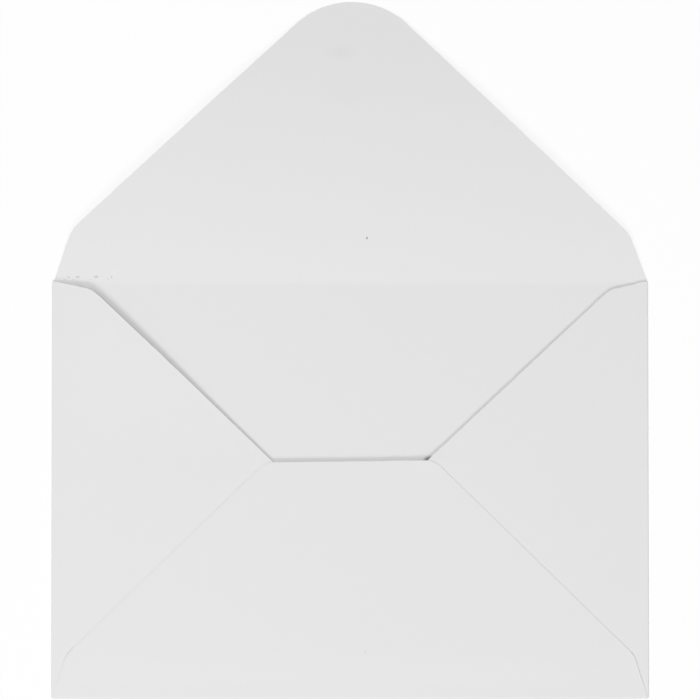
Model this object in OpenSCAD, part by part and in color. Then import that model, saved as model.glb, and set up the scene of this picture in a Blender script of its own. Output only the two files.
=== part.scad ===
// Paper envelope, folded and glued from one sheet. It lies on its front with the top flap turned out flat.
// Millimetres, +Z up. The origin is on the table, under the middle of the whole outline.
// X runs along the width, and +Y points from the bottom edge to the tip of the top flap.

/* [Body] */
// Width of the folded envelope
body_w = 162; // [140:1:200]
// Height of the folded envelope, from the bottom edge to the crease of the top flap
body_h = 114; // [100:1:140]
// Thickness of the paper
paper_t = 0.11; // [0.1:0.01:0.25]

/* [Top flap] */
// Height of the top flap, from its crease to its tip
flap_h = 76.4; // [60:0.2:90]
// Radius of the rounded tip
flap_tip_r = 22; // [6:0.5:30]
// Distance from the side edge to each shoulder of the top flap
flap_shoulder_in = 5.3; // [2:0.1:12]
// Distance from the crease to each shoulder of the top flap
flap_shoulder_up = 13.5; // [6:0.5:20]
// Radius at the shoulders of the top flap
flap_shoulder_r = 13; // [2:0.5:20]
// Step in from the side edge to the top flap, which is cut at a slant beside each end of the crease
flap_step = 0.75; // [0.5:0.05:1.5]
// Height of that slanted cut
flap_notch = 0.6; // [0.3:0.1:1]
// Height of the gentle arch that the opened top flap keeps
flap_arch = 1.8; // [0.5:0.1:3]

/* [Side flaps] */
// Distance from the side edge to the shoulders of a side flap
side_shoulder_in = 10.9; // [7:0.1:15]
// Distance from the crease, or from the bottom edge, to the shoulders of a side flap
side_shoulder_drop = 2.6; // [2:0.1:6]
// Radius at the shoulders of a side flap
side_shoulder_r = 8; // [2:0.5:12]
// Radius at the hidden tip of a side flap
side_tip_r = 6; // [2:0.5:10]
// Width of the throat between the side flaps, along the top edge of the bottom flap
throat_w = 42.1; // [30:0.1:60]

/* [Bottom flap] */
// Height of the bottom flap
bottom_flap_h = 64.6; // [50:0.2:75]
// Width of its top edge, between the sharp corners that the rounding takes off
bottom_top_w = 45.9; // [36:0.1:60]
// Radius of its top corners
bottom_top_r = 6; // [1:0.5:12]
// Distance from the side edge to the shoulders of the bottom flap
bottom_shoulder_in = 4.05; // [2:0.05:8]
// Distance from the bottom edge to the shoulders of the bottom flap
bottom_shoulder_up = 11.9; // [6:0.1:18]
// Radius at the shoulders of the bottom flap
bottom_shoulder_r = 8; // [2:0.5:14]
// Step in from the side edge to the bottom flap at its fold
bottom_step = 0.3; // [0.25:0.05:1.5]

/* [Folds and seams] */
// Inside radius of the side folds
side_fold_r = 0.1; // [0.05:0.01:0.3]
// Room left at the corners, between the ends of two folds
corner_relief = 0.2; // [0.1:0.05:1]
// Width of the flat land that creasing leaves beside a fold
fold_land = 0.4; // [0.2:0.1:1]
// How far the flaps rise above their folds over the pocket
pocket_lift = 0.7; // [0.3:0.1:1.5]
// Distance over which the flaps rise, from the land beside a fold
lift_run = 12; // [8:0.5:16]
// Width of each glued strip
glue_w = 6; // [3:0.5:7]
// Distance from the edge of the bottom flap to the glued strip
glue_inset = 2.5; // [1:0.1:3.5]
// Distance from each end of the flap's slanted edge to the end of the glued strip
glue_end = 6; // [4:0.5:15]
// Thickness of the glue line
glue_t = 0.03; // [0.02:0.01:0.06]

/* [Hidden] */

// Levels of the sheet's layers beside their folds. The side flaps fold first, and the bottom flap goes
// over them
side_z = paper_t + 2 * side_fold_r;
bottom_z = side_z + paper_t + glue_t;
side_fold_out = side_fold_r + paper_t;
bottom_fold_out = (bottom_z + paper_t) / 2;
bottom_fold_r = bottom_fold_out - paper_t;
// How far the glue soaks into each of the two papers
glue_soak = paper_t / 5;

// The whole outline is centred on the origin, so the crease lies off the middle
bottom_y = -(body_h + flap_h) / 2;
crease_y = bottom_y + body_h;
tip_y = crease_y + flap_h;
side_x = body_w / 2;
// Lines at which the flat paper turns into a fold
side_line = side_x - side_fold_out;
bottom_line = bottom_y + bottom_fold_out;
side_low_end = bottom_line + corner_relief;
side_high_end = crease_y - corner_relief;
bottom_half_w = side_x - bottom_step;

// Steps of the curves: degrees in a round corner, parts of the flaps' rise, parts of the arch, and sides
// of a fold's circles
corner_step = 4;
lift_steps = 12;
arch_steps = 24;
fold_sides = 48;
// Room past an outline for the solids that it trims
past = 1;

function unit(v) = v / norm(v);
function turned(v, angle) = [v.x * cos(angle) - v.y * sin(angle), v.x * sin(angle) + v.y * cos(angle)];
function cross_2d(a, b) = a.x * b.y - a.y * b.x;
function mirrored(corners) = [
    for (i = [len(corners) - 1 : -1 : 0]) [-corners[i].x, corners[i].y, corners[i].z]
];

// Where the line through p along p_dir meets the line through q along q_dir
function meeting(p, p_dir, q, q_dir) = p + p_dir * cross_2d(q - p, q_dir) / cross_2d(p_dir, q_dir);

// Angle above the level at which a straight edge from a point leaves to touch a circle on the centre line
function tangent_angle(from, centre_y, r) =
    let(across = from.x, up = centre_y - from.y)
    atan2(up, across) + asin(r / norm([across, up]));

// Points of one corner [x, y, radius] of an outline, rounded between its neighbours in an even number
// of steps
function corner_points(before, corner, after) =
    let(
        p = [corner.x, corner.y],
        back = unit([before.x, before.y] - p),
        ahead = unit([after.x, after.y] - p),
        half = acos(back * ahead) / 2,
        centre = p + unit(back + ahead) * corner.z / sin(half),
        start = p + back * corner.z / tan(half) - centre,
        sweep = sign(cross_2d(back, ahead)) * (2 * half - 180),
        steps = 2 * ceil(abs(sweep) / corner_step / 2)
    )
    corner.z == 0 ? [p] : [for (i = [0 : steps]) centre + turned(start, sweep * i / steps)];

// Points of a closed outline given by its sharp corners [x, y, radius]
function rounded(corners) =
    let(n = len(corners))
    [for (i = [0 : n - 1]) each corner_points(corners[(i + n - 1) % n], corners[i], corners[(i + 1) % n])];

// Right-hand half of each outline, from bottom to top
flap_shoulder = [side_x - flap_shoulder_in, crease_y + flap_shoulder_up];
flap_peak_y = flap_shoulder.y
    + flap_shoulder.x * tan(tangent_angle(flap_shoulder, tip_y - flap_tip_r, flap_tip_r));
sheet_half = [
    [side_line, bottom_line, 0],
    [side_line, crease_y, 0],
    [side_x - flap_step, crease_y + flap_notch, 0],
    [flap_shoulder.x, flap_shoulder.y, flap_shoulder_r],
];
sheet_corners = concat(sheet_half, [[0, flap_peak_y, flap_tip_r]], mirrored(sheet_half));

bottom_shoulder = [side_x - bottom_shoulder_in, bottom_y + bottom_shoulder_up];
bottom_top = [bottom_top_w / 2, bottom_y + bottom_flap_h];
bottom_half = [
    [bottom_half_w, bottom_line, 0],
    [bottom_shoulder.x, bottom_shoulder.y, bottom_shoulder_r],
    [bottom_top.x, bottom_top.y, bottom_top_r],
];
bottom_corners = concat(bottom_half, mirrored(bottom_half));

side_shoulder_x = side_x - side_shoulder_in;
side_high = [side_shoulder_x, crease_y - side_shoulder_drop];
side_low = [side_shoulder_x, bottom_y + side_shoulder_drop];
throat_corner = [throat_w / 2, bottom_y + bottom_flap_h];
side_tip = meeting(side_high, throat_corner - side_high, side_low, bottom_top - bottom_shoulder);
side_corners = [
    [side_line, side_low_end, 0],
    [side_line, side_high_end, 0],
    [side_high.x, side_high.y, side_shoulder_r],
    [side_tip.x, side_tip.y, side_tip_r],
    [side_low.x, side_low.y, side_shoulder_r],
];

// The glued strip runs beside the slanted edge of the bottom flap
slant = unit(bottom_top - bottom_shoulder);
slant_inward = turned(slant, 90);
glue_start = bottom_shoulder + slant * glue_end + slant_inward * glue_inset;
glue_stop = bottom_top - slant * glue_end + slant_inward * glue_inset;
glue_outline = [glue_start, glue_stop, glue_stop + slant_inward * glue_w, glue_start + slant_inward * glue_w];

// Height of the arched top flap at a distance from its crease
arch_r = flap_h * flap_h / (8 * flap_arch) + flap_arch / 2;
function arch(d) = sqrt(arch_r * arch_r - pow(d - flap_h / 2, 2)) - (arch_r - flap_arch);

// Smooth rise of a flap at a distance from its fold
function rise(part) = pocket_lift * part * part * (3 - 2 * part);
rise_parts = [for (i = [0 : lift_steps]) i / lift_steps];
rise_across = [for (part = rise_parts) [side_line - fold_land - lift_run * part, rise(part)]];
rise_up = [for (part = rise_parts) [bottom_line + fold_land + lift_run * part, rise(part)]];

// Extrudes a section drawn in X and Z along Y, or one drawn in Y and Z along X
module along_y(from, to) {
    translate([0, to, 0])
        rotate([90, 0, 0])
            linear_extrude(to - from)
                children();
}

module along_x(half_length) {
    rotate([90, 0, 90])
        linear_extrude(2 * half_length, center = true)
            children();
}

module prism(points, height) {
    translate([0, 0, -past])
        linear_extrude(height + 2 * past)
            polygon(points);
}

// Everything below a layer that leaves its folds at a level and rises towards the middle
module below_layer(level, floor_z) {
    lifted = [0, level];
    across = [for (p = rise_across) p + lifted];
    up = [for (p = rise_up) p + lifted];
    middle_z = level + pocket_lift;
    intersection() {
        along_y(bottom_y - past, crease_y + past)
            polygon(concat(
                [[-side_x - past, floor_z], [side_x + past, floor_z], [side_x + past, level]],
                across,
                [for (i = [lift_steps : -1 : 0]) [-across[i].x, across[i].y]],
                [[-side_x - past, level]]
            ));
        along_x(side_x + 2 * past)
            polygon(concat(
                [[crease_y + 2 * past, middle_z], [crease_y + 2 * past, floor_z]],
                [[bottom_y - 2 * past, floor_z], [bottom_y - 2 * past, level]],
                up
            ));
    }
}

// A layer between two levels, cut to an outline
module layer(low, high, outline) {
    intersection() {
        prism(outline, high + pocket_lift);
        difference() {
            below_layer(high, -past);
            below_layer(low, -2 * past);
        }
    }
}

// Half a turn of paper, seen along the fold. Its two flat tails lie inside the papers that it joins
module fold_section(inside_r, outside_r) {
    tail = fold_land / 2;
    for (level = [0, outside_r + inside_r])
        translate([-tail, level])
            square([tail, paper_t]);
    translate([0, outside_r])
        difference() {
            circle(outside_r, $fn = fold_sides);
            circle(inside_r, $fn = fold_sides);
            translate([-2 * outside_r, -outside_r - past])
                square([2 * outside_r, 2 * (outside_r + past)]);
        }
}

// Front panel with the opened top flap, which is the same flat sheet as far as the crease
module front_and_top_flap() {
    arc = [for (i = [0 : arch_steps]) [crease_y + flap_h * i / arch_steps, arch(flap_h * i / arch_steps)]];
    lower = concat([[bottom_line - past, 0]], arc);
    upper = [for (i = [len(lower) - 1 : -1 : 0]) lower[i] + [0, paper_t]];
    intersection() {
        prism(rounded(sheet_corners), flap_arch + paper_t);
        along_x(side_x + past)
            polygon(concat(lower, upper));
    }
}

module side_fold() {
    translate([side_line, 0, 0])
        along_y(side_low_end, side_high_end)
            fold_section(side_fold_r, side_fold_out);
}

module side_flap() {
    layer(side_z, side_z + paper_t, rounded(side_corners));
}

module glued_strip() {
    layer(side_z + paper_t - glue_soak, bottom_z + glue_soak, glue_outline);
}

module bottom_fold() {
    translate([0, bottom_line, 0])
        along_x(bottom_half_w)
            mirror([1, 0])
                fold_section(bottom_fold_r, bottom_fold_out);
}

module bottom_flap() {
    layer(bottom_z, bottom_z + paper_t, rounded(bottom_corners));
}

module envelope() {
    color([0.9, 0.9, 0.9]) {
        front_and_top_flap();
        for (side = [0, 1]) {
            mirror([side, 0, 0]) {
                side_fold();
                side_flap();
                glued_strip();
            }
        }
        bottom_fold();
        bottom_flap();
    }
}

envelope();
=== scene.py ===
"""Looks of a paper envelope with a pointed flap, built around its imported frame.

The envelope is one sheet of white paper, and it is made here the way such an envelope is made. The front
panel is laid down, each flap is turned over its fold and pulled out row by row, and the flaps are cut to
their outlines. Then the pocket is opened a little, the top flap keeps a low arch, and the sheet gets its
thickness.
"""

import logging
import math
from collections.abc import Callable
from dataclasses import dataclass
from enum import Enum

import bmesh
import bpy
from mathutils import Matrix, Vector


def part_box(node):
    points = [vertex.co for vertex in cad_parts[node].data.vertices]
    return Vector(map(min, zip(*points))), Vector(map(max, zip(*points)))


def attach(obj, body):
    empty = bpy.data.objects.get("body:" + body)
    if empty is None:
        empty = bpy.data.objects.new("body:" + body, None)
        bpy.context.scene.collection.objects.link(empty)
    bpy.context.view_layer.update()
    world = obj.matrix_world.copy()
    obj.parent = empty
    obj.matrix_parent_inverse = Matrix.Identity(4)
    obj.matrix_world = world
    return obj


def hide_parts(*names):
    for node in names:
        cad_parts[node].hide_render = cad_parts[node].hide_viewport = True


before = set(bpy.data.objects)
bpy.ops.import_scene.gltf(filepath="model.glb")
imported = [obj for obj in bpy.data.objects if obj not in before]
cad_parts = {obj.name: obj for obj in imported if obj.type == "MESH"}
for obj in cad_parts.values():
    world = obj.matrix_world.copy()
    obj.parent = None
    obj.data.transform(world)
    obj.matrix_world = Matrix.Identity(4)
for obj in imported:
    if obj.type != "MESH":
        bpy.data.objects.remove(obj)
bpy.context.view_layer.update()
CAD_LOW, CAD_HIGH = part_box("envelope")

MM = 0.001
# Two places closer than this are the same place
NEAR = 0.002 * MM
LOG = logging.getLogger("paper_envelope")

Test = Callable[[Vector], bool]


class Side(Enum):
    """The two sides of the envelope. The value is the sign of X there."""

    LEFT = -1
    RIGHT = 1


def hex_to_linear(code: str) -> tuple[float, float, float, float]:
    """Turns an sRGB hex colour into linear light.

    Args:
        code: the colour as six hex digits, such as "E6E6E6".

    Returns:
        The linear red, green and blue, with full alpha.
    """
    channels = [int(code[i : i + 2], 16) / 255 for i in (0, 2, 4)]
    linear = [c / 12.92 if c <= 0.04045 else ((c + 0.055) / 1.055) ** 2.4 for c in channels]
    return (*linear, 1.0)


WHITE = hex_to_linear("FFFFFF")


def smooth(part: float) -> float:
    """Gives a soft step.

    Args:
        part: the place on the step. It starts at 0 and ends at 1.

    Returns:
        The height, which is 0 before the step and 1 after it.
    """
    part = max(0.0, min(1.0, part))
    return part * part * (3 - 2 * part)


def add_node(
    tree: bpy.types.NodeTree,
    kind: str,
    settings: dict | None = None,
    inputs: dict | None = None,
) -> bpy.types.Node:
    """Adds one node with its settings, its constants and its links.

    Args:
        tree: the node tree to add to.
        kind: the node's type name.
        settings: properties of the node itself.
        inputs: what goes into each input, by name or number: a constant, or another node's output.

    Returns:
        The new node.
    """
    node = tree.nodes.new(kind)
    for name, value in (settings or {}).items():
        setattr(node, name, value)
    for name, value in (inputs or {}).items():
        if isinstance(value, bpy.types.NodeSocket):
            tree.links.new(value, node.inputs[name])
        else:
            node.inputs[name].default_value = value
    return node


@dataclass(frozen=True)
class Corner:
    """A sharp corner of an outline and the radius that rounds it."""

    x: float
    y: float
    radius: float = 0.0

    @property
    def place(self) -> Vector:
        """The corner's place on the table."""
        return Vector((self.x, self.y))

    def mirrored(self) -> "Corner":
        """Mirrors the corner.

        Returns:
            The same corner on the other side of the envelope.
        """
        return Corner(-self.x, self.y, self.radius)

    def turned(self, centre: Vector, angle: float) -> "Corner":
        """Turns the corner about a point.

        Args:
            centre: the point to turn about.
            angle: the angle in radians, counted against the clock.

        Returns:
            The turned corner.
        """
        away = self.place - centre
        x = away.x * math.cos(angle) - away.y * math.sin(angle)
        y = away.x * math.sin(angle) + away.y * math.cos(angle)
        return Corner(centre.x + x, centre.y + y, self.radius)


def rounded(corners: list[Corner], step: float = math.radians(4)) -> list[Vector]:
    """Rounds the inner corners of an open outline that turns to the left.

    Args:
        corners: the sharp corners in order. The first and the last stay as they are.
        step: the angle of each short straight stretch in a round corner.

    Returns:
        The points of the outline.
    """
    points = [corners[0].place]
    for before, corner, after in zip(corners, corners[1:], corners[2:]):
        back = (before.place - corner.place).normalized()
        ahead = (after.place - corner.place).normalized()
        if corner.radius == 0:
            points.append(corner.place)
            continue
        half = math.acos(back.dot(ahead)) / 2
        centre = corner.place + (back + ahead).normalized() * corner.radius / math.sin(half)
        start = corner.place + back * corner.radius / math.tan(half) - centre
        sweep = math.pi - 2 * half
        count = math.ceil(sweep / step)
        for i in range(count + 1):
            angle = math.atan2(start.y, start.x) + sweep * i / count
            points.append(centre + corner.radius * Vector((math.cos(angle), math.sin(angle))))
    return [*points, corners[-1].place]


def meeting(p: Vector, p_way: Vector, q: Vector, q_way: Vector) -> Vector:
    """Finds where two lines meet.

    Args:
        p: a point on the first line.
        p_way: the first line's direction.
        q: a point on the second line.
        q_way: the second line's direction.

    Returns:
        The point where they meet.
    """
    share = (q - p).cross(q_way) / p_way.cross(q_way)
    return p + p_way * share


@dataclass(frozen=True)
class Sheet:
    """The sheet of paper: its place on the table, its thickness and the lines that it is folded at."""

    body_height: float = 114 * MM
    thickness: float = 0.11 * MM
    # The gap of the glued seams, and the inside radius of the side folds
    glue: float = 0.035 * MM
    side_fold_inside: float = 0.16 * MM
    # How far the side folds stop short of the bottom fold and of the crease
    corner_relief: float = 0.2 * MM
    crease_relief: float = 0.06 * MM
    # Width of the flat strip beside a fold
    fold_land: float = 0.4 * MM
    # Spacing of the rows and columns of the mesh
    cell: float = 1.5 * MM
    # Steps of each half turn of paper
    fold_steps: int = 12
    # The crease of the top flap is a soft bend over rows of this height below it
    bend_row: float = 0.33 * MM
    bend_rows: int = 4

    @property
    def half_width(self) -> float:
        """Half the width of the folded envelope."""
        return CAD_HIGH.x

    @property
    def bottom(self) -> float:
        """Y of the bottom edge."""
        return CAD_LOW.y

    @property
    def crease(self) -> float:
        """Y of the top flap's crease."""
        return self.bottom + self.body_height

    @property
    def tip(self) -> float:
        """Y of the top flap's tip."""
        return CAD_HIGH.y

    @property
    def front_level(self) -> float:
        """Height of the middle of the front panel's paper."""
        return self.thickness / 2

    @property
    def side_level(self) -> float:
        """Height of the middle of a side flap's paper beside its fold."""
        return self.front_level + self.thickness + 2 * self.side_fold_inside

    @property
    def bottom_level(self) -> float:
        """Height of the middle of the bottom flap's paper beside its fold."""
        return self.side_level + self.thickness + self.glue

    @property
    def side_line(self) -> float:
        """Distance from the middle at which the front panel turns into a side fold."""
        return self.half_width - self.side_fold_inside - self.thickness

    @property
    def bottom_line(self) -> float:
        """Y at which the front panel turns into the bottom fold."""
        return self.bottom + (self.bottom_level - self.front_level + self.thickness) / 2

    @property
    def side_fold_ends(self) -> tuple[float, float]:
        """Y of the two ends of a side fold, which stop just short of the body's corners."""
        return self.bottom_line + self.corner_relief, self.crease - self.crease_relief

    @property
    def bend_start(self) -> float:
        """Y at which the front panel starts to bend up into the top flap."""
        return self.crease - self.bend_rows * self.bend_row

    def rows(self, length: float) -> list[float]:
        """Splits a pull into its steps: the land beside the fold, then even rows.

        Args:
            length: the whole length of the pull.

        Returns:
            The length of each step.
        """
        count = math.ceil((length - self.fold_land) / self.cell)
        return [self.fold_land] + [(length - self.fold_land) / count] * count


@dataclass
class Bench:
    """The paper while it is worked on: one mesh in edit mode."""

    piece: bpy.types.Object

    def pick_edges(self, test: Test) -> None:
        """Selects edges.

        Args:
            test: says from a place if it counts. Both ends of an edge have to pass.
        """
        bpy.ops.mesh.select_mode(type="EDGE")
        bpy.ops.mesh.select_all(action="DESELECT")
        mesh = bmesh.from_edit_mesh(self.piece.data)
        for edge in mesh.edges:
            edge.select_set(all(test(v.co) for v in edge.verts))
        bmesh.update_edit_mesh(self.piece.data)

    def pick_faces(self, test: Test) -> None:
        """Selects faces.

        Args:
            test: says from a face's middle if the face counts.
        """
        bpy.ops.mesh.select_mode(type="FACE")
        bpy.ops.mesh.select_all(action="DESELECT")
        mesh = bmesh.from_edit_mesh(self.piece.data)
        for face in mesh.faces:
            face.select_set(test(face.calc_center_median()))
        bmesh.update_edit_mesh(self.piece.data)

    def score(self, place: Vector, across: Vector) -> None:
        """Cuts a line into all faces, and takes nothing away.

        Args:
            place: a point on the line.
            across: the direction at a right angle to it.
        """
        bpy.ops.mesh.select_all(action="SELECT")
        bpy.ops.mesh.bisect(plane_co=place, plane_no=across)

    def fold_over(self, centre: Vector, axis: Vector, steps: int) -> None:
        """Turns the selected edges over a fold, by half a turn.

        Args:
            centre: a point on the fold's axis.
            axis: the direction of the axis.
            steps: how many rows of faces the half turn gets.
        """
        bpy.ops.mesh.spin(steps=steps, angle=math.pi, center=centre, axis=axis)

    def pull(self, step: Vector) -> None:
        """Pulls the selected edges out by one row of faces.

        Args:
            step: how far and in which direction.
        """
        bpy.ops.mesh.extrude_region_move(TRANSFORM_OT_translate={"value": step})

    def draw_in(self, test: Test, left: float, right: float) -> None:
        """Moves the two end points of a row of edges along X.

        Args:
            test: says which points belong to the row.
            left: the new X of its left end.
            right: the new X of its right end.
        """
        mesh = bmesh.from_edit_mesh(self.piece.data)
        row = sorted((v for v in mesh.verts if test(v.co)), key=lambda v: v.co.x)
        row[0].co.x, row[-1].co.x = left, right
        bmesh.update_edit_mesh(self.piece.data)

    def cut_out(self, outline: list[Vector], test: Test) -> None:
        """Cuts the faces that pass a test to an outline with the paper on its left.

        Args:
            outline: the points of the outline, seen from above. It is convex.
            test: says from a face's middle if the face belongs to the flap that is cut.
        """
        for start, end in zip(outline, outline[1:]):
            away = Vector((end.y - start.y, start.x - end.x, 0)).normalized()
            self.pick_faces(test)
            bpy.ops.mesh.bisect(plane_co=start.to_3d(), plane_no=away, clear_outer=True)


@dataclass
class FrontPanel:
    """The plain front of the envelope, which lies on the table."""

    sheet: Sheet

    def lay(self) -> Bench:
        """Lays the panel down as a grid and opens it for the work in edit mode.

        Returns:
            The bench with the panel on it.
        """
        sheet = self.sheet
        width = 2 * sheet.side_line
        height = sheet.crease - sheet.bottom_line
        bpy.ops.object.select_all(action="DESELECT")
        bpy.ops.mesh.primitive_grid_add(
            x_subdivisions=round(width / sheet.cell),
            y_subdivisions=round(height / sheet.cell),
            size=1,
            location=(0, sheet.bottom_line + height / 2, sheet.front_level),
        )
        piece = bpy.context.object
        piece.name = "envelope_sheet"
        piece.data.name = "envelope_sheet"
        piece.scale = (width, height, 1)
        bpy.ops.object.transform_apply(location=True, rotation=True, scale=True)
        bpy.ops.object.mode_set(mode="EDIT")
        bench = Bench(piece)
        # Lines at the ends of the side folds, and at the rows of the soft bend and one more below them
        bend_rows = [sheet.crease - sheet.bend_row * i for i in range(1, sheet.bend_rows + 2)]
        for y in [*sheet.side_fold_ends, *bend_rows]:
            bench.score(Vector((0, y, 0)), Vector((0, 1, 0)))
        return bench


@dataclass
class SideFlap:
    """One of the two side flaps, folded over first. The bottom flap hides its lower half."""

    sheet: Sheet
    side: Side
    shoulder_in: float
    # Where the slanted edge passes the top of the bottom flap, and how far its middle bulges out
    throat_half: float
    edge_bulge: float = 0.0
    shoulder_drop: float = 2.6 * MM
    shoulder_radius: float = 8 * MM
    tip_radius: float = 6 * MM

    def outline(self, bottom_flap: "BottomFlap") -> list[Vector]:
        """Works out the flap's outline, from the crease's end round to the bottom edge's end.

        Args:
            bottom_flap: the flap over it, whose slanted edge the hidden edge runs along.

        Returns:
            The points of the outline on this side.
        """
        sheet = self.sheet
        fold_low, fold_high = sheet.side_fold_ends
        x = sheet.half_width - self.shoulder_in
        high = Vector((x, sheet.crease - self.shoulder_drop))
        low = Vector((x, sheet.bottom + self.shoulder_drop))
        throat = Vector((self.throat_half, bottom_flap.top))
        slant = bottom_flap.top_corner.place - bottom_flap.shoulder.place
        outwards = (high - throat).orthogonal().normalized()
        middle = (high + throat) / 2 + outwards * self.edge_bulge
        tip = meeting(middle, throat - middle, low, slant)
        corners = [
            Corner(sheet.side_line, fold_high),
            Corner(high.x, high.y, self.shoulder_radius),
            Corner(middle.x, middle.y),
            Corner(tip.x, tip.y, self.tip_radius),
            Corner(low.x, low.y, self.shoulder_radius),
            Corner(sheet.side_line, fold_low),
        ]
        if self.side is Side.LEFT:
            corners = [corner.mirrored() for corner in reversed(corners)]
        return rounded(corners)

    def belongs(self, place: Vector) -> bool:
        """Says if a place is on this flap, clear of its fold.

        Args:
            place: the middle of a face.

        Returns:
            Whether the face belongs to the flap.
        """
        sheet = self.sheet
        over = place.z > (sheet.front_level + sheet.side_level) / 2
        return over and 0 < place.x * self.side.value < sheet.side_line

    def make(self, bench: Bench, bottom_flap: "BottomFlap") -> None:
        """Folds the flap over, pulls it out towards the middle and cuts it to its outline.

        Args:
            bench: the sheet that the flap is part of.
            bottom_flap: the flap that will lie over it.
        """
        sheet, sign = self.sheet, self.side.value
        line = sign * sheet.side_line
        low, high = sheet.side_fold_ends
        bench.pick_edges(lambda p: abs(p.x - line) < NEAR and low - NEAR < p.y < high + NEAR)
        middle = (sheet.front_level + sheet.side_level) / 2
        bench.fold_over(Vector((line, 0, middle)), Vector((0, sign, 0)), sheet.fold_steps)
        outline = self.outline(bottom_flap)
        reach = sheet.side_line - min(abs(p.x) for p in outline)
        for row in sheet.rows(reach):
            bench.pull(Vector((-sign * row, 0, 0)))
        bench.cut_out(outline, self.belongs)


@dataclass
class BottomFlap:
    """The bottom flap, folded up last and glued over the side flaps."""

    sheet: Sheet
    height: float = 64.6 * MM
    top_half: float = 22.95 * MM
    top_radius: float = 6 * MM
    # The top edge isn't quite level: it climbs a little to the right
    top_turn: float = math.radians(0.65)
    shoulder_in: float = 4.05 * MM
    shoulder_up: float = 11.9 * MM
    shoulder_radius: float = 8 * MM
    step_in: float = 0.3 * MM

    @property
    def top(self) -> float:
        """Y of the top edge's middle."""
        return self.sheet.bottom + self.height

    @property
    def foot(self) -> Corner:
        """The right end of the fold."""
        return Corner(self.sheet.half_width - self.step_in, self.sheet.bottom_line)

    @property
    def shoulder(self) -> Corner:
        """The right shoulder."""
        sheet = self.sheet
        x = sheet.half_width - self.shoulder_in
        return Corner(x, sheet.bottom + self.shoulder_up, self.shoulder_radius)

    @property
    def top_corner(self) -> Corner:
        """The right corner of a level top edge."""
        return Corner(self.top_half, self.top, self.top_radius)

    def outline(self) -> list[Vector]:
        """Works out the flap's outline, from the right end of its fold round to the left end.

        Returns:
            The points of the outline.
        """
        middle = Vector((0, self.top))
        right = [self.foot, self.shoulder, self.top_corner.turned(middle, self.top_turn)]
        left_top = self.top_corner.mirrored().turned(middle, self.top_turn)
        return rounded([*right, left_top, self.shoulder.mirrored(), self.foot.mirrored()])

    def belongs(self, place: Vector) -> bool:
        """Says if a place is on this flap, clear of its fold.

        Args:
            place: the middle of a face.

        Returns:
            Whether the face belongs to the flap.
        """
        sheet = self.sheet
        over = place.z > (sheet.side_level + sheet.bottom_level) / 2
        return over and place.y > sheet.bottom_line

    def make(self, bench: Bench) -> None:
        """Folds the flap up, pulls it out towards the crease and cuts it to its outline.

        Args:
            bench: the sheet that the flap is part of.
        """
        sheet = self.sheet
        line = sheet.bottom_line
        bench.pick_edges(lambda p: abs(p.y - line) < NEAR and abs(p.z - sheet.front_level) < NEAR)
        middle = (sheet.front_level + sheet.bottom_level) / 2
        bench.fold_over(Vector((0, line, middle)), Vector((1, 0, 0)), sheet.fold_steps)
        outline = self.outline()
        for row in sheet.rows(max(p.y for p in outline) - line):
            bench.pull(Vector((0, row, 0)))
        bench.cut_out(outline, self.belongs)


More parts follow.
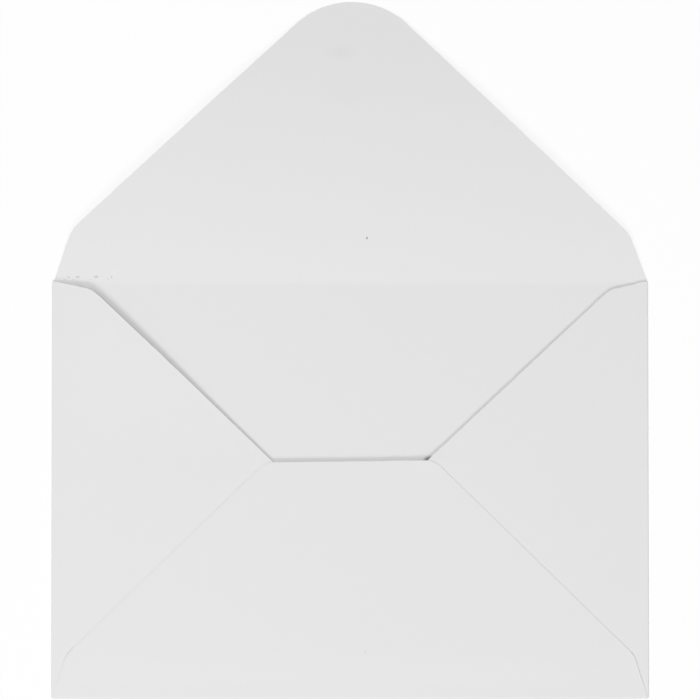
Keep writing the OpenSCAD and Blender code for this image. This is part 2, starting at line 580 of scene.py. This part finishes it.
@dataclass
class TopFlap:
    """The opened top flap with its rounded tip. It keeps a low arch between its crease and its tip."""

    sheet: Sheet
    tip_radius: float = 22 * MM
    shoulder_in: float = 5.3 * MM
    shoulder_up: float = 13.5 * MM
    shoulder_radius: float = 11 * MM
    # The little slanted cut beside each end of the crease. The two sit a little to the right
    notch_in: float = 0.6 * MM
    notch_up: float = 0.6 * MM
    notch_shift: float = 0.17 * MM
    # The flap is turned a little with the clock against the body
    turn: float = math.radians(-0.45)
    # Slope at the crease, and the share of the length over which the slope falls evenly
    root_slope: float = math.radians(5.6)
    bent_share: float = 0.85

    @property
    def length(self) -> float:
        """Length of the flap, from the crease to the tip."""
        return self.sheet.tip - self.sheet.crease

    def notch(self, side: Side) -> Corner:
        """Finds the upper end of the slanted cut beside the crease.

        Args:
            side: the side of the envelope.

        Returns:
            The cut's upper end.
        """
        x = side.value * (self.sheet.half_width - self.notch_in) + self.notch_shift
        return Corner(x, self.sheet.crease + self.notch_up)

    def bend(self, piece: bpy.types.Object) -> None:
        """Bends the paper up below the crease, so that it runs smoothly into the slope of the flap.

        Args:
            piece: the folded sheet, in object mode.
        """
        sheet = self.sheet
        run = sheet.crease - sheet.bend_start
        most = run * math.tan(self.root_slope) / 2
        group = piece.vertex_groups.new(name="bend")
        for vertex in piece.data.vertices:
            if sheet.bend_start < vertex.co.y < sheet.crease:
                group.add([vertex.index], ((vertex.co.y - sheet.bend_start) / run) ** 2, "REPLACE")
            elif vertex.co.y >= sheet.crease:
                # The tip stays on the table
                group.add([vertex.index], (sheet.tip - vertex.co.y) / self.length, "REPLACE")
        raise_group(piece, group, most)

    def slope(self, distance: float) -> float:
        """Gives the slope of the paper. It is such that the tip rests on the table.

        Args:
            distance: the distance from the crease.

        Returns:
            The slope in radians, which is negative where the paper falls.
        """
        tip_slope = self.root_slope * self.bent_share / (2 - self.bent_share)
        fallen = min(1.0, distance / (self.bent_share * self.length))
        return self.root_slope - (self.root_slope + tip_slope) * fallen

    def outline(self) -> list[Vector]:
        """Works out the outline, from the right notch round the tip to the left notch.

        Returns:
            The points of the outline.
        """
        sheet = self.sheet
        shoulder = Corner(
            sheet.half_width - self.shoulder_in,
            sheet.crease + self.shoulder_up,
            self.shoulder_radius,
        )
        # The slanted edges touch the circle of the tip
        rise = sheet.tip - self.tip_radius - shoulder.y
        reach = math.hypot(shoulder.x, rise)
        angle = math.atan2(rise, shoulder.x) + math.asin(self.tip_radius / reach)
        peak = Corner(0, shoulder.y + shoulder.x * math.tan(angle), self.tip_radius)
        middle = Vector((0, sheet.crease))
        cut = [corner.turned(middle, self.turn) for corner in (shoulder, peak, shoulder.mirrored())]
        return rounded([self.notch(Side.RIGHT), *cut, self.notch(Side.LEFT)])

    def make(self, bench: Bench) -> None:
        """Pulls the flap out from the crease along its arch and cuts it to its outline.

        Args:
            bench: the sheet that the flap is part of.
        """
        sheet = self.sheet
        start = sheet.crease
        bench.pick_edges(lambda p: abs(p.y - start) < NEAR)
        count = math.ceil((self.length + sheet.cell - self.notch_up) / sheet.cell)
        distance = 0.0
        for row in [self.notch_up] + [sheet.cell] * count:
            slope = self.slope(distance + row / 2)
            bench.pull(Vector((0, row * math.cos(slope), row * math.sin(slope))))
            if distance == 0:
                # The first row ends at the two slanted cuts
                ends = (self.notch(side).x for side in (Side.LEFT, Side.RIGHT))
                bench.draw_in(lambda p: p.y > start + NEAR, *ends)
            distance += row
        above = start + self.notch_up * math.cos(self.slope(self.notch_up / 2))
        bench.cut_out(self.outline(), lambda p: p.y > above + NEAR)


@dataclass
class Pocket:
    """The space between the front panel and the flaps, which stands open a little."""

    sheet: Sheet
    # How far the flaps rise at the throat's foot, and at the shoulders of the two side flaps
    foot_lift: float = 0.27 * MM
    left_lift: float = 1.55 * MM
    right_lift: float = 0.3 * MM
    # Distances over which the paper rises from the lands beside the folds
    left_run: float = 20 * MM
    right_run: float = 30 * MM
    bottom_run: float = 12 * MM
    # The flaps stand up a little more at the right corner of the throat's foot
    corner_x: float = 20.9 * MM
    corner_lift: float = 0.22 * MM
    corner_run: float = 5 * MM
    # The bottom flap's low side edges, below its shoulders, stand off the side flaps
    spring: float = 0.11 * MM
    spring_run: float = 4 * MM
    # Share of a low edge's length over which that grows from the fold, and fades past the shoulder
    spring_fade: float = 0.5

    def lift(self, place: Vector, foot: float) -> float:
        """Gives how far the flaps rise at a place.

        Args:
            place: the place on the flap.
            foot: Y of the throat's foot.

        Returns:
            The height above the level beside the folds.
        """
        sheet = self.sheet
        on_left = place.x < 0
        run = self.left_run if on_left else self.right_run
        part = max(0.0, min(1.0, (sheet.side_line - abs(place.x) - sheet.fold_land) / run))
        # The paper leaves a side fold at a slope and levels out
        across = (3 * part - part**3) / 2
        up = smooth((place.y - sheet.bottom_line - sheet.fold_land) / self.bottom_run)
        towards_crease = smooth((place.y - foot) / (sheet.crease - foot))
        shoulder_lift = self.left_lift if on_left else self.right_lift
        most = self.foot_lift + (shoulder_lift - self.foot_lift) * towards_crease
        to_corner = (place.xy - Vector((self.corner_x, foot))).length
        return across * up * most + self.corner_lift * smooth(1 - to_corner / self.corner_run)

    def low_edge_lift(self, place: Vector, flap: BottomFlap) -> float:
        """Gives how far the bottom flap stands off the side flaps near its low side edges.

        Args:
            place: the place on the bottom flap.
            flap: the bottom flap.

        Returns:
            The height above the glued paper.
        """
        foot, shoulder = flap.foot.place, flap.shoulder.place
        edge = foot - shoulder
        inwards = (Vector((abs(place.x), place.y)) - foot).cross(edge) / edge.length
        near = 1 - min(1.0, abs(inwards) / self.spring_run)
        along = (place.y - foot.y) / (shoulder.y - foot.y)
        grown = smooth(along / self.spring_fade)
        left_over = smooth((1 + self.spring_fade - along) / self.spring_fade)
        return self.spring * near**2 * grown * left_over

    def open(self, piece: bpy.types.Object, flap: BottomFlap) -> None:
        """Raises the side flaps and the bottom flap together.

        Args:
            piece: the folded sheet, in object mode.
            flap: the bottom flap.
        """
        sheet = self.sheet
        group = piece.vertex_groups.new(name="pocket")
        over = (sheet.front_level + sheet.side_level) / 2
        on_top = (sheet.side_level + sheet.bottom_level) / 2
        most = max(self.foot_lift, self.left_lift, self.right_lift) + self.corner_lift
        for vertex in piece.data.vertices:
            place = vertex.co
            if place.z > over and place.y < sheet.crease:
                lift = self.lift(place, flap.top)
                if place.z > on_top and place.y > sheet.bottom_line:
                    lift += self.low_edge_lift(place, flap)
                group.add([vertex.index], lift / most, "REPLACE")
        raise_group(piece, group, most)


def apply_modifier(piece: bpy.types.Object, kind: str, **settings: object) -> None:
    """Adds a modifier to a piece and applies it.

    Args:
        piece: the active object, in object mode.
        kind: the modifier's type name.
        settings: its properties.
    """
    modifier = piece.modifiers.new(kind.title(), kind)
    for name, value in settings.items():
        setattr(modifier, name, value)
    bpy.ops.object.modifier_apply(modifier=modifier.name)


def raise_group(piece: bpy.types.Object, group: bpy.types.VertexGroup, most: float) -> None:
    """Raises the points of a vertex group by their weights.

    Args:
        piece: the active object, in object mode.
        group: the points. A weight of 1 stands for the full height.
        most: the full height.
    """
    apply_modifier(piece, "DISPLACE", direction="Z", strength=most, mid_level=0, vertex_group=group.name)


@dataclass(frozen=True)
class Mark:
    """A small mark on the paper: a soft dark ellipse seen from above.

    Places and sizes are in millimetres.
    """

    x: float
    y: float
    width: float
    height: float
    darkness: float
    turn: float = 0.0
    # Whether it lies only in the throat, on the inside of the front panel, and stays off the flaps, as
    # the painted shade in the throat's corner does
    inside: bool = False


@dataclass(frozen=True)
class WhiteWovePaper:
    """Uncoated white wove paper, 90 grams a square metre, pressed smooth between rolls.

    That gives the eye an even, matt, neutral white with a faint cloudiness where the fibres lie thicker,
    and hardly any gloss. The few specks and the scuffs beside the crease are dirt, and the two faint
    patches near the tip are only darker paper. The dark spot in the throat's corner is painted shade,
    a corner shadow put into the paper's colour. The dark spot in the throat's corner is taken for dust,
    and may be a deep shadow.
    """

    tone: str = "E6E6E6"
    roughness: float = 0.88
    ior: float = 1.5
    # Clouds of the fibres' formation: their size, and how much they change the tone
    cloud_size: float = 6 * MM
    cloud_depth: float = 0.006
    cloud_detail: float = 4.0
    cloud_roughness: float = 0.6
    # The tooth of real paper is about 0.1 mm, drawn coarser so that it shows
    tooth_size: float = 0.5 * MM
    tooth_height: float = 0.002 * MM
    tooth_detail: float = 3.0
    tooth_roughness: float = 0.7
    # The dark colour of the dirt and of the painted shade in the throat's corner
    dirt_and_painted_shade_tone: str = "101010"
    # A mark is darkest within the first share of its half size, and gone from the second one on
    mark_core: float = 0.2
    mark_rim: float = 1.3
    # The inside of the front panel lies below this height
    inside_level: float = 0.3 * MM
    # A face looks up from this part of its normal along Z
    upward: float = 0.5
    marks: tuple[Mark, ...] = (
        # Painted shade: the dark spot in the right corner of the throat's foot, a corner shadow put into
        # the colour
        Mark(21.35, -29.95, 3.3, 2.0, 0.7, math.radians(18), inside=True),
        # Specks on the top flap and on the bottom flap
        Mark(4.6, 30.4, 0.45, 0.85, 0.75),
        Mark(4.1, -82.6, 0.8, 0.7, 0.1),
        # Scuffs beside the left end of the crease
        Mark(-79.8, 19.6, 0.8, 0.8, 0.08),
        Mark(-78.7, 19.5, 3.6, 1.1, 0.035),
        Mark(-77.5, 19.15, 0.8, 0.5, 0.18),
        Mark(-76.5, 19.75, 1.0, 0.7, 0.22),
        Mark(-75.3, 19.15, 0.8, 0.5, 0.14),
        Mark(-74.05, 19.8, 1.3, 0.75, 0.26),
        Mark(-70.5, 19.15, 0.8, 0.5, 0.1),
        Mark(-69.0, 19.9, 1.4, 0.8, 0.27),
        Mark(-65.8, 19.35, 0.6, 0.6, 0.1),
        Mark(-64.8, 19.8, 0.5, 0.9, 0.22),
        # Two faint darker patches near the tip
        Mark(-2.2, 81.4, 9, 4.4, 0.03),
        Mark(-1.2, 71.0, 12.5, 9.5, 0.012),
    )

    def mark_shade(self, tree: bpy.types.NodeTree, place: bpy.types.NodeSocket) -> bpy.types.NodeSocket:
        """Adds up the darkness of all marks at a place.

        Args:
            tree: the material's nodes.
            place: the output with the place on the object.

        Returns:
            The output with the darkness, from 0 for clean paper.
        """
        total = None
        height = add_node(tree, "ShaderNodeSeparateXYZ", None, {"Vector": place}).outputs["Z"]
        is_inside = add_node(
            tree, "ShaderNodeMath", {"operation": "LESS_THAN"}, {0: height, 1: self.inside_level}
        ).outputs["Value"]
        for mark in self.marks:
            unit = add_node(
                tree,
                "ShaderNodeMapping",
                {"vector_type": "TEXTURE"},
                {
                    "Vector": place,
                    "Location": (mark.x * MM, mark.y * MM, 0),
                    "Rotation": (0, 0, mark.turn),
                    "Scale": (mark.width / 2 * MM, mark.height / 2 * MM, 1),
                },
            )
            away = add_node(
                tree, "ShaderNodeVectorMath", {"operation": "LENGTH"}, {0: unit.outputs["Vector"]}
            )
            shade = add_node(
                tree,
                "ShaderNodeMapRange",
                {"interpolation_type": "SMOOTHSTEP"},
                {
                    "Value": away.outputs["Value"],
                    "From Min": self.mark_core,
                    "From Max": self.mark_rim,
                    "To Min": mark.darkness,
                    "To Max": 0.0,
                },
            ).outputs["Result"]
            # Only the painted shade in the throat's corner is kept to the front panel's inside
            if mark.inside:
                shade = add_node(
                    tree, "ShaderNodeMath", {"operation": "MULTIPLY"}, {0: shade, 1: is_inside}
                ).outputs["Value"]
            if total is None:
                total = shade
            else:
                total = add_node(
                    tree, "ShaderNodeMath", {"operation": "ADD"}, {0: total, 1: shade}
                ).outputs["Value"]
        # The dirt and the painted shade are on the faces that look up
        normal = add_node(tree, "ShaderNodeNewGeometry").outputs["Normal"]
        up = add_node(tree, "ShaderNodeSeparateXYZ", None, {"Vector": normal}).outputs["Z"]
        faces_up = add_node(
            tree, "ShaderNodeMath", {"operation": "GREATER_THAN"}, {0: up, 1: self.upward}
        )
        return add_node(
            tree, "ShaderNodeMath", {"operation": "MULTIPLY"}, {0: total, 1: faces_up.outputs["Value"]}
        ).outputs["Value"]

    def material(self) -> bpy.types.Material:
        """Builds the material.

        Returns:
            The material for the sheet.
        """
        material = bpy.data.materials.new("white_wove_paper")
        material.use_nodes = True
        tree = material.node_tree
        tree.nodes.clear()
        place = add_node(tree, "ShaderNodeTexCoord").outputs["Object"]
        clouds = add_node(
            tree,
            "ShaderNodeTexNoise",
            None,
            {
                "Vector": place,
                "Scale": 1 / self.cloud_size,
                "Detail": self.cloud_detail,
                "Roughness": self.cloud_roughness,
            },
        )
        paper = hex_to_linear(self.tone)
        shades = [
            (*(c * (1 + part * self.cloud_depth) for c in paper[:3]), 1.0) for part in (-1, 1)
        ]
        clouded = add_node(
            tree,
            "ShaderNodeMix",
            {"data_type": "RGBA"},
            {"Factor": clouds.outputs["Fac"], "A": shades[0], "B": shades[1]},
        )
        shade = self.mark_shade(tree, place)
        # The marks darken the paper: dirt, and the painted shade in the throat's corner
        dirt_and_painted_shade = add_node(
            tree,
            "ShaderNodeMix",
            {"data_type": "RGBA"},
            {"Factor": shade, "A": clouded.outputs[2], "B": hex_to_linear(self.dirt_and_painted_shade_tone)},
        )
        tooth = add_node(
            tree,
            "ShaderNodeTexNoise",
            None,
            {
                "Vector": place,
                "Scale": 1 / self.tooth_size,
                "Detail": self.tooth_detail,
                "Roughness": self.tooth_roughness,
            },
        )
        bump = add_node(
            tree,
            "ShaderNodeBump",
            None,
            {"Height": tooth.outputs["Fac"], "Distance": self.tooth_height, "Strength": 1.0},
        )
        shader = add_node(
            tree,
            "ShaderNodeBsdfPrincipled",
            None,
            {
                "Base Color": dirt_and_painted_shade.outputs[2],
                "Roughness": self.roughness,
                "IOR": self.ior,
                "Normal": bump.outputs["Normal"],
            },
        )
        add_node(tree, "ShaderNodeOutputMaterial", None, {"Surface": shader.outputs["BSDF"]})
        return material


@dataclass
class Envelope:
    """The whole envelope: one folded sheet."""

    sheet: Sheet
    paper: WhiteWovePaper
    # Faces that meet at less than this angle are shaded as one round surface
    smooth_angle: float = math.radians(35)

    def build(self) -> bpy.types.Object:
        """Folds the sheet, gives it its thickness and dresses it.

        Returns:
            The finished piece.
        """
        sheet = self.sheet
        bottom_flap = BottomFlap(sheet)
        bench = FrontPanel(sheet).lay()
        LOG.info("front panel laid down")
        # The two side flaps of the real envelope aren't quite alike
        left = SideFlap(
            sheet, Side.LEFT, shoulder_in=11.1 * MM, throat_half=21.05 * MM, edge_bulge=0.15 * MM
        )
        right = SideFlap(sheet, Side.RIGHT, shoulder_in=10.5 * MM, throat_half=20.7 * MM)
        for flap in (left, right):
            flap.make(bench, bottom_flap)
            LOG.info("%s side flap folded and cut", flap.side.name.lower())
        bottom_flap.make(bench)
        LOG.info("bottom flap folded and cut")
        top_flap = TopFlap(sheet)
        top_flap.make(bench)
        LOG.info("top flap pulled out and cut")
        bpy.ops.mesh.select_all(action="SELECT")
        bpy.ops.mesh.remove_doubles(threshold=NEAR)
        bpy.ops.mesh.normals_make_consistent(inside=False)
        bpy.ops.object.mode_set(mode="OBJECT")
        piece = bench.piece
        Pocket(sheet).open(piece, bottom_flap)
        top_flap.bend(piece)
        apply_modifier(piece, "SOLIDIFY", thickness=sheet.thickness, offset=0, use_even_offset=True)
        bpy.ops.object.shade_smooth_by_angle(angle=self.smooth_angle)
        piece.data.materials.append(self.paper.material())
        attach(piece, "root")
        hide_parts("envelope")
        LOG.info("%s: %d faces", piece.name, len(piece.data.polygons))
        return piece


def seen_directly(tree: bpy.types.NodeTree) -> bpy.types.NodeSocket:
    """Finds the rays that show a backdrop as such: from the camera, a glossy surface or a clear one.

    Args:
        tree: the nodes of the floor or the world.

    Returns:
        The output that is 1 for such a ray.
    """
    light_path = add_node(tree, "ShaderNodeLightPath")
    seen = light_path.outputs["Is Camera Ray"]
    for name in ("Is Glossy Ray", "Is Transmission Ray"):
        seen = add_node(
            tree, "ShaderNodeMath", {"operation": "MAXIMUM"}, {0: seen, 1: light_path.outputs[name]}
        ).outputs["Value"]
    return seen


@dataclass(frozen=True)
class Lamp:
    """A round soft lamp that points at the middle of the table."""

    name: str
    # Share of the light on the table that comes from it
    share: float
    distance: float
    size: float
    elevation: float
    # Its direction on the table, against the clock from +X
    heading: float

    def hang(self) -> None:
        """Hangs the lamp, with the power that gives its share of light at the middle of the table."""
        lamp = bpy.data.lights.new(self.name, "AREA")
        lamp.shape = "DISK"
        lamp.size = self.size
        reach = self.distance**2 + (self.size / 2) ** 2
        lamp.energy = self.share * math.pi**2 * reach / math.sin(self.elevation)
        level, height = math.cos(self.elevation), math.sin(self.elevation)
        way = Vector((level * math.cos(self.heading), level * math.sin(self.heading), height))
        holder = bpy.data.objects.new(self.name, lamp)
        holder.location = way * self.distance
        holder.rotation_euler = (-way).to_track_quat("-Z", "Y").to_euler()
        holder.visible_camera = False
        bpy.context.scene.collection.objects.link(holder)


@dataclass
class Studio:
    """A white table under plain soft light, seen from above."""

    # A soft box overhead, a weak lamp on the left and a low lamp below the bottom edge
    lamps: tuple[Lamp, ...] = (
        Lamp(
            name="soft_box",
            share=0.455,
            distance=1.5,
            size=0.7,
            elevation=math.radians(82),
            heading=math.radians(180),
        ),
        Lamp(
            name="side",
            share=0.06,
            distance=2.0,
            size=0.6,
            elevation=math.radians(47),
            heading=math.radians(195),
        ),
        Lamp(
            name="key",
            share=0.21,
            distance=2.2,
            size=0.8,
            elevation=math.radians(34),
            heading=math.radians(270),
        ),
    )
    # Share of the light that comes evenly from all round
    fill: float = 0.24
    floor_size: float = 24.0
    floor_gap: float = 0.02 * MM
    floor_tone: str = "FDFDFD"
    # How much of the floor's white is its own, so that its shadows stay light
    floor_glow: float = 0.8
    # Camera: how much of the table it sees, its distance, its tilt to the bottom edge and its aim
    view_width: float = 190.2 * MM
    camera_distance: float = 3.4
    camera_tilt: float = math.radians(6.0)
    aim_y: float = -0.1 * MM
    # How far the camera sees, as a multiple of its distance
    clip_share: float = 10

    def lay_floor(self) -> None:
        """Lays a large white floor just below the envelope."""
        bpy.ops.object.select_all(action="DESELECT")
        bpy.ops.mesh.primitive_plane_add(size=self.floor_size, location=(0, 0, -self.floor_gap))
        floor = bpy.context.object
        floor.name = "floor"
        material = bpy.data.materials.new("matt_white_table")
        material.use_nodes = True
        tree = material.node_tree
        tree.nodes.clear()
        matt = add_node(tree, "ShaderNodeBsdfDiffuse", None, {"Color": hex_to_linear(self.floor_tone)})
        glow = add_node(tree, "ShaderNodeEmission", None, {"Color": WHITE, "Strength": 1.0})
        share = add_node(
            tree,
            "ShaderNodeMath",
            {"operation": "MULTIPLY"},
            {0: seen_directly(tree), 1: self.floor_glow},
        )
        mix = add_node(
            tree,
            "ShaderNodeMixShader",
            None,
            {0: share.outputs["Value"], 1: matt.outputs["BSDF"], 2: glow.outputs["Emission"]},
        )
        add_node(tree, "ShaderNodeOutputMaterial", None, {"Surface": mix.outputs["Shader"]})
        floor.data.materials.append(material)

    def light_world(self) -> None:
        """Lights the envelope evenly from all round, and shows white where nothing is."""
        world = bpy.data.worlds.new("studio")
        world.use_nodes = True
        tree = world.node_tree
        tree.nodes.clear()
        fill = add_node(
            tree, "ShaderNodeBackground", None, {"Color": WHITE, "Strength": self.fill}
        )
        white = add_node(tree, "ShaderNodeBackground", None, {"Color": WHITE, "Strength": 1.0})
        mix = add_node(
            tree,
            "ShaderNodeMixShader",
            None,
            {0: seen_directly(tree), 1: fill.outputs["Background"], 2: white.outputs["Background"]},
        )
        add_node(tree, "ShaderNodeOutputWorld", None, {"Surface": mix.outputs["Shader"]})
        bpy.context.scene.world = world

    def set_camera(self) -> None:
        """Sets the camera high above the envelope, tilted a little from its bottom edge."""
        data = bpy.data.cameras.new("camera")
        data.lens = data.sensor_width * self.camera_distance / self.view_width
        data.clip_end = self.clip_share * self.camera_distance
        camera = bpy.data.objects.new("camera", data)
        back = Vector((0, -math.sin(self.camera_tilt), math.cos(self.camera_tilt)))
        camera.location = Vector((0, self.aim_y, 0)) + back * self.camera_distance
        camera.rotation_euler = (self.camera_tilt, 0, 0)
        bpy.context.scene.collection.objects.link(camera)
        bpy.context.scene.camera = camera

    def build(self) -> None:
        """Sets up the floor, the light and the camera."""
        self.lay_floor()
        self.light_world()
        for lamp in self.lamps:
            lamp.hang()
        self.set_camera()
        bpy.context.scene.view_settings.view_transform = "Standard"
        LOG.info("studio set up")


def main() -> None:
    """Builds the studio and the envelope."""
    logging.basicConfig(level=logging.INFO, format="%(name)s: %(message)s")
    Studio().build()
    Envelope(Sheet(), WhiteWovePaper()).build()


if __name__ == "__main__":
    main()
